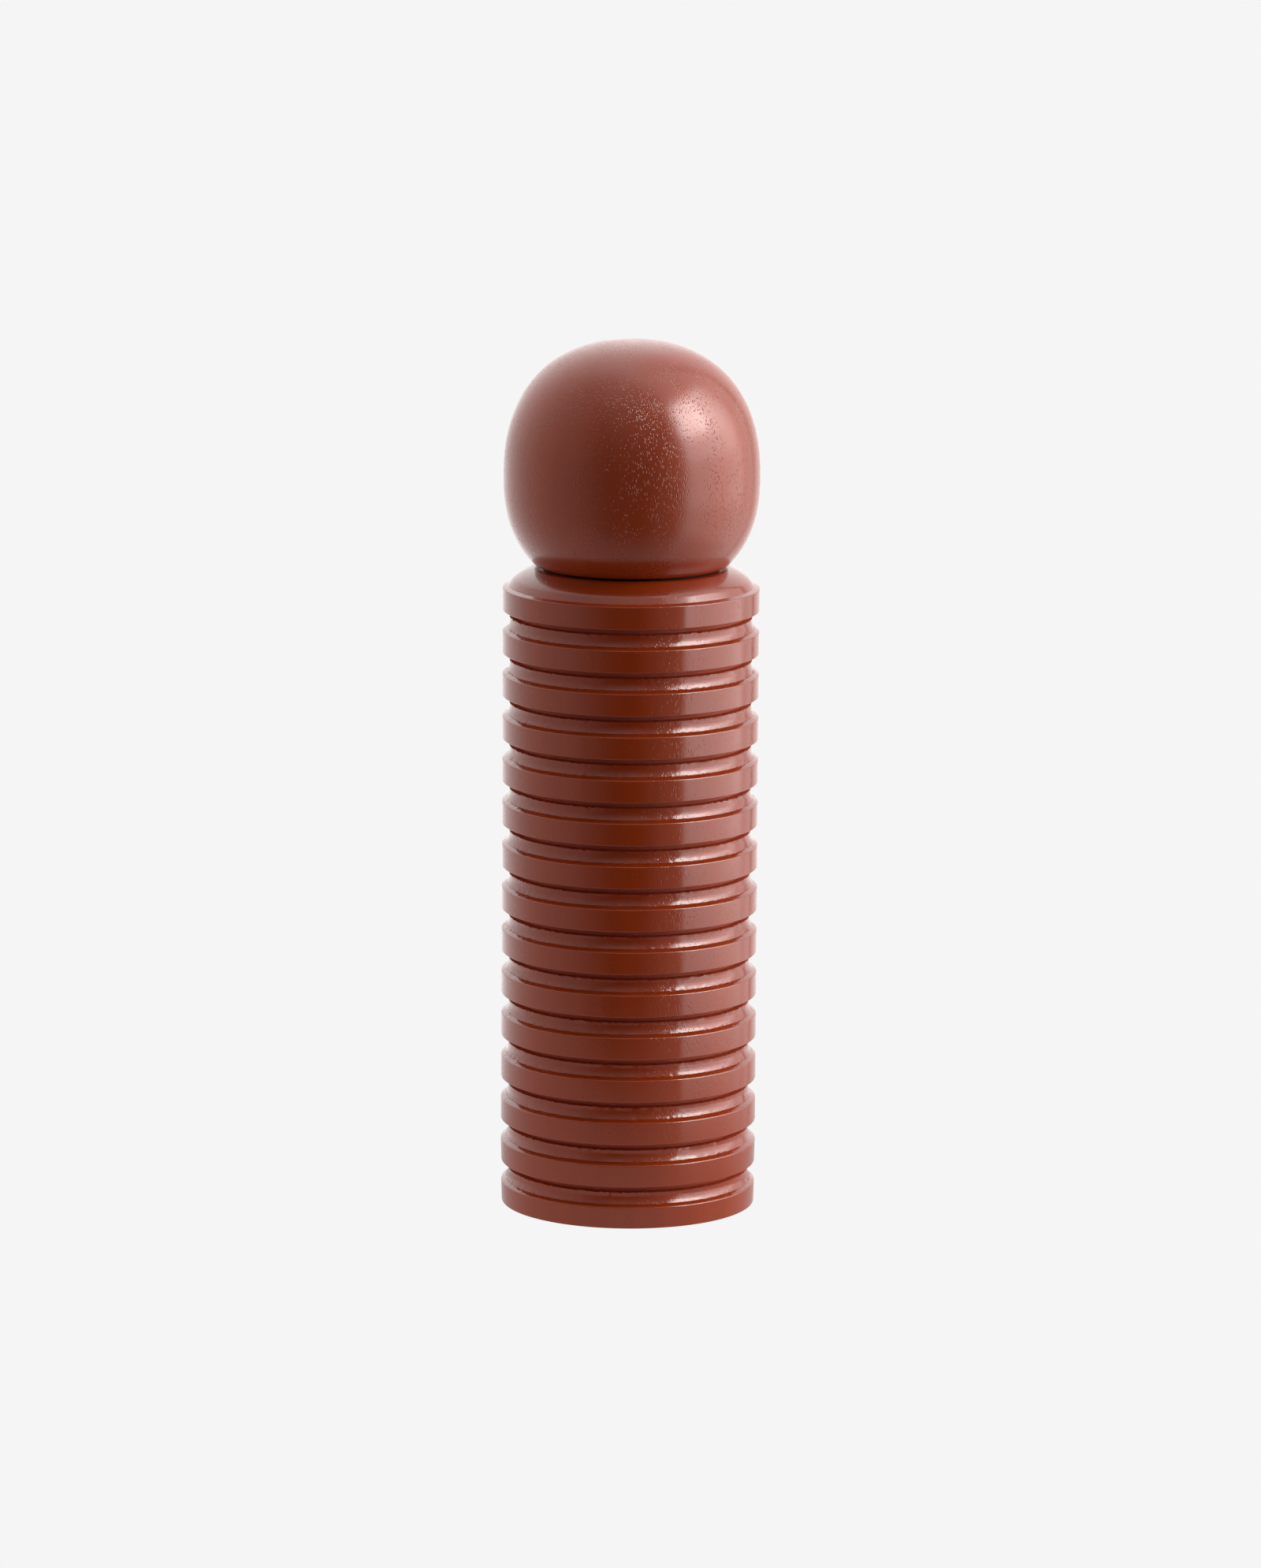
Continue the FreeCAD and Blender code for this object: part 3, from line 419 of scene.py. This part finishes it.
def raw_wood(name):
    """Unfinished pale hardwood of the bores, with straight grain along Z."""
    n = Nodes(bpy.data.materials.new(name))
    grain = n.noise((1.0, 1.0, 0.05), 900.0, 5.0, 0.65)
    rings = n.noise((1.0, 1.0, 0.03), 130.0, 2.0)
    tone = n.mix(n.spread(grain, 0.3, 0.7), (0.44, 0.26, 0.13, 1), (0.62, 0.42, 0.24, 1))
    tone = n.mix(n.spread(rings, 0.4, 0.6, 0.0, 0.4), tone, (0.50, 0.29, 0.15, 1))
    n.set(Base_Color=tone, Roughness=n.spread(grain, 0.3, 0.7, 0.7, 0.85), Normal=n.bump(grain, 0.05 * MM))
    return n.owner


def moulded_plastic(name, colour, paler, roughness, gloss_level=0.5):
    """Moulded plastic with a fine eroded grain."""
    n = Nodes(bpy.data.materials.new(name))
    grain = n.noise((1.0, 1.0, 1.0), 4200.0, 2.0)
    cloud = n.noise((1.0, 1.0, 1.0), 220.0, 3.0)
    n.set(Base_Color=n.mix(n.spread(cloud, 0.3, 0.7), colour, paler),
          Roughness=n.spread(grain, 0.3, 0.7, roughness - 0.05, roughness + 0.08),
          Normal=n.bump(grain, 0.02 * MM, 0.6), Specular_IOR_Level=gloss_level)
    return n.owner


def brushed_metal(name, colour, darker, roughness, along):
    """Metal with fine lines; along holds the scale on each axis, small where the lines run."""
    n = Nodes(bpy.data.materials.new(name))
    lines = n.noise(along, 1500.0, 4.0, 0.6)
    smudge = n.noise((1.0, 1.0, 1.0), 180.0, 3.0)
    n.set(Base_Color=n.mix(n.spread(smudge, 0.35, 0.7), colour, darker), Metallic=1.0,
          Roughness=n.spread(lines, 0.3, 0.7, roughness - 0.06, roughness + 0.08),
          Normal=n.bump(lines, 0.008 * MM, 0.6))
    return n.owner


def ceramic(name):
    """Dense off-white ceramic, slightly stained by pepper."""
    n = Nodes(bpy.data.materials.new(name))
    speck = n.noise((1.0, 1.0, 1.0), 1800.0, 4.0, 0.6)
    dust = n.noise((1.0, 1.0, 1.0), 260.0, 4.0, 0.6)
    dusted = n.spread(dust, 0.45, 0.75, 0.0, 0.6)
    n.set(Base_Color=n.mix(dusted, (0.80, 0.78, 0.72, 1), (0.50, 0.42, 0.32, 1)),
          Roughness=n.spread(speck, 0.3, 0.7, 0.45, 0.6), Normal=n.bump(speck, 0.03 * MM, 0.5))
    return n.owner


EVEN = (1.0, 1.0, 1.0)
UP_THE_SHAFT = (1.0, 1.0, 0.02)
FINISHES = {
    "pale_plastic": moulded_plastic("natural_acetal", (0.78, 0.75, 0.68, 1), (0.83, 0.81, 0.76, 1), 0.45),
    "dark_plastic": moulded_plastic("dark_moulding", (0.014, 0.012, 0.011, 1), (0.022, 0.019, 0.018, 1),
                                    0.60, 0.15),
    "ceramic": ceramic("burr_ceramic"),
    "aluminium": brushed_metal("drawn_aluminium", (0.80, 0.81, 0.82, 1), (0.72, 0.73, 0.74, 1), 0.32,
                               UP_THE_SHAFT),
    "steel": brushed_metal("spring_steel", (0.58, 0.58, 0.59, 1), (0.50, 0.50, 0.51, 1), 0.30, EVEN),
    "brass": brushed_metal("machined_brass", (0.80, 0.62, 0.30, 1), (0.70, 0.52, 0.24, 1), 0.30, EVEN),
}
WOODEN = {"body_shell", "head_ball"}


def finish_mechanism():
    """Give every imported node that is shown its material, by its slot in the record."""
    for part in frame["record"]["subparts"]:
        node = frame["nodes"][part["node"]]
        if part["node"] in WOODEN:
            continue
        node.data.materials.clear()
        node.data.materials.append(FINISHES[part["material_slot"]])


# ---------------------------------------------------------------- wooden pieces

def make_wooden_pieces():
    inside = raw_wood("unfinished_wood")
    body = turned(
        "ribbed_body", body_outline(), BODY_SEGMENTS, body_shift,
        [lacquered_wood("body_lacquer", 0.15, 0.03 * MM), inside,
         # the slots' lacquer is painted lighter, its stain times 1.15: painted light standing in for light
         # bounced into the slots
         lacquered_wood("groove_lacquer", 0.60, 0.05 * MM, 0.5, 1.15)],
        lambda a, b: 1 if "bore" in (a, b) else 2 if "slot" in (a, b) else 0)
    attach(body, "mill_body")
    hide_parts("body_shell")
    head = turned(
        "ball_head", head_outline(), HEAD_SEGMENTS, lambda *place: (0.0, 0.0),
        [lacquered_wood("head_lacquer", 0.22, 0.08 * MM), inside],
        lambda a, b: 1 if "tenon" in (a, b) else 0)
    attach(head, "head")
    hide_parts("head_ball")


# ---------------------------------------------------------------- camera, lights and floor

def make_camera():
    data = bpy.data.cameras.new("camera")
    data.lens = CAMERA_LENS
    data.sensor_width = 36.0
    data.shift_x = CAMERA_SHIFT
    camera = bpy.data.objects.new("camera", data)
    bpy.context.scene.collection.objects.link(camera)
    turn = Matrix.Rotation(math.pi / 2 - CAMERA_PITCH, 4, "X") @ Matrix.Rotation(CAMERA_ROLL, 4, "Z")
    camera.matrix_world = Matrix.Translation((0.0, -CAMERA_DISTANCE, CAMERA_HEIGHT)) @ turn
    bpy.context.scene.camera = camera


def area_light(name, out, centre, width, height, radiance, seen_by):
    """Flat light at centre that faces against out; seen_by is "gloss" or "diffuse", the light's one use."""
    data = bpy.data.lights.new(name, "AREA")
    data.shape = "RECTANGLE"
    data.size = width
    data.size_y = height
    data.energy = radiance * math.pi * width * height
    light = bpy.data.objects.new(name, data)
    bpy.context.scene.collection.objects.link(light)
    light.location = centre
    light.rotation_mode = "QUATERNION"
    light.rotation_quaternion = out.to_track_quat("Z", "Y")
    light.visible_camera = False
    light.visible_diffuse = seen_by == "diffuse"
    light.visible_glossy = seen_by == "gloss"


def reflected_panel(name, left, right, bottom, top, distance, radiance):
    """Upright panel seen only in reflections, between two azimuths and two elevations in degrees."""
    middle = math.radians((left + right) / 2)
    width = 2 * distance * math.tan(math.radians((right - left) / 2))
    low = distance * math.tan(math.radians(bottom))
    high = distance * math.tan(math.radians(top))
    out = Vector((math.sin(middle), -math.cos(middle), 0.0))
    centre = out * distance + Vector((0.0, 0.0, LIGHT_CENTRE + (low + high) / 2))
    area_light(name, out, centre, width, high - low, radiance, "gloss")


def soft_light(name, azimuth, elevation, level):
    """Square light for the body colour; level is what a white surface that faces it sends back."""
    a, e = math.radians(azimuth), math.radians(elevation)
    out = Vector((math.sin(a) * math.cos(e), -math.cos(a) * math.cos(e), math.sin(e)))
    radiance = level * math.pi * (SOFT_DISTANCE / SOFT_SIZE) ** 2
    area_light(name, out, out * SOFT_DISTANCE + Vector((0.0, 0.0, LIGHT_CENTRE)), SOFT_SIZE, SOFT_SIZE,
               radiance, "diffuse")


def make_lights():
    # the key softbox grows brighter upwards, so it is a stack of panels that add up
    reflected_panel("key_whole", 49, 120, -34, 54, 1.4, 0.8)
    reflected_panel("key_middle", 49, 116, -13, 54, 1.35, 1.2)
    reflected_panel("key_upper", 49, 110, 9, 53, 1.3, 1.8)
    reflected_panel("key_bright", 50, 100, 22, 52, 1.25, 2.6)
    reflected_panel("key_core", 49, 84, 27, 52, 1.2, 7.0)
    soft_light("key_soft", 92, 18, 1.0)
    soft_light("left_soft", -110, 10, 0.30)
    soft_light("overhead_soft", 180, 85, 0.30)


def paper(name, level, fade=None):
    """Plain surface that glows evenly; fade holds the radii between which it thins out."""
    n = Nodes(bpy.data.materials.new(name))
    n.set(Base_Color=(0, 0, 0, 1), Specular_IOR_Level=0.0, Emission_Color=(1, 1, 1, 1))
    n.set(Emission_Strength=level)
    if fade:
        radius = n.add("ShaderNodeVectorMath", {"Vector": n.place((1.0, 1.0, 0.0))}, operation="LENGTH")
        n.set(Alpha=n.spread(radius.outputs["Value"], fade[0], fade[1], 1.0, 0.0))
    return n.owner


BACKDROP = 0.9131    # linear value of the plain pale background
FLOOR_REACH = 30.0
FLOOR_DROP = 0.2 * MM
TABLE_LEVEL = 0.68    # the lit table round the foot, which thins out between two radii
TABLE_NEAR = 0.05
TABLE_REACH = 0.26
TABLE_SIDES = 64
LIGHT_CENTRE = 0.1
SOFT_DISTANCE = 1.3
SOFT_SIZE = 0.8
AMBIENT = 0.30
# the studio's light by azimuth, where 0 is the viewer's side and + is to the right, and by elevation
ROOM_ROUND = [(-180, 1.6), (-140, 1.30), (-98, 0.80), (-65, 0.60), (-50, 0.48), (-37, 0.27), (-25, 0.14),
              (-21, 0.06), (-8, 0.0), (9, 0.0), (22, 0.17), (30, 0.28), (48, 0.48), (50, 1.6), (138, 1.6),
              (140, 0.3), (143, 0.3), (145, 1.2), (165, 1.3), (180, 1.6)]
ROOM_UP = [(-90, 0.0), (0, 0.0), (20, 0.18), (45, 0.54), (60, 0.9), (77, 1.15), (90, 1.3)]


def make_stage():
    """A pale floor that only the camera sees, and the near table that only the mill sees."""
    mesh = bpy.data.meshes.new("floor")
    corners = [(-1, -1), (1, -1), (1, 1), (-1, 1)]
    mesh.from_pydata([(x * FLOOR_REACH, y * FLOOR_REACH, -FLOOR_DROP) for x, y in corners], [],
                     [(0, 1, 2, 3)])
    mesh.materials.append(paper("floor_paper", BACKDROP))
    floor = bpy.data.objects.new("floor", mesh)
    for flag in ("visible_diffuse", "visible_glossy", "visible_transmission", "visible_shadow"):
        setattr(floor, flag, False)
    bpy.context.scene.collection.objects.link(floor)
    turns = [2 * math.pi * i / TABLE_SIDES for i in range(TABLE_SIDES)]
    mesh = bpy.data.meshes.new("table")
    mesh.from_pydata([(TABLE_REACH * math.cos(turn), TABLE_REACH * math.sin(turn), -2 * FLOOR_DROP)
                      for turn in turns], [], [tuple(range(TABLE_SIDES))])
    mesh.materials.append(paper("table_paper", TABLE_LEVEL, (TABLE_NEAR, TABLE_REACH)))
    table = bpy.data.objects.new("table", mesh)
    table.visible_camera = False
    bpy.context.scene.collection.objects.link(table)


def make_world():
    """The camera sees a plain pale background; the mill sees a soft studio, dark on the viewer's side."""
    n = Nodes(bpy.data.worlds.new("studio"), "Background")
    direction = n.add("ShaderNodeSeparateXYZ", {"Vector": n.add("ShaderNodeTexCoord").outputs["Generated"]})
    towards_viewer = n.math("MULTIPLY", direction.outputs["Y"], -1.0)
    azimuth = n.math("DEGREES", n.math("ARCTAN2", direction.outputs["X"], towards_viewer))
    elevation = n.math("DEGREES", n.math("ARCSINE", direction.outputs["Z"]))
    walls = n.math("MULTIPLY", n.ramp(azimuth, ROOM_ROUND), n.spread(elevation, 0.0, 35.0, 1.0, 1.35))
    studio = n.math("MAXIMUM", walls, n.ramp(elevation, ROOM_UP))
    path = n.add("ShaderNodeLightPath")
    level = n.spread(path.outputs["Is Diffuse Ray"], 0.0, 1.0, studio, AMBIENT)
    n.set(Color=(1, 1, 1, 1), Strength=n.spread(path.outputs["Is Camera Ray"], 0.0, 1.0, level, BACKDROP))
    n.owner.cycles.sampling_method = "NONE"
    bpy.context.scene.world = n.owner
    bpy.context.scene.view_settings.view_transform = "Standard"


make_camera()
make_world()
make_lights()
make_stage()
make_wooden_pieces()
finish_mechanism()
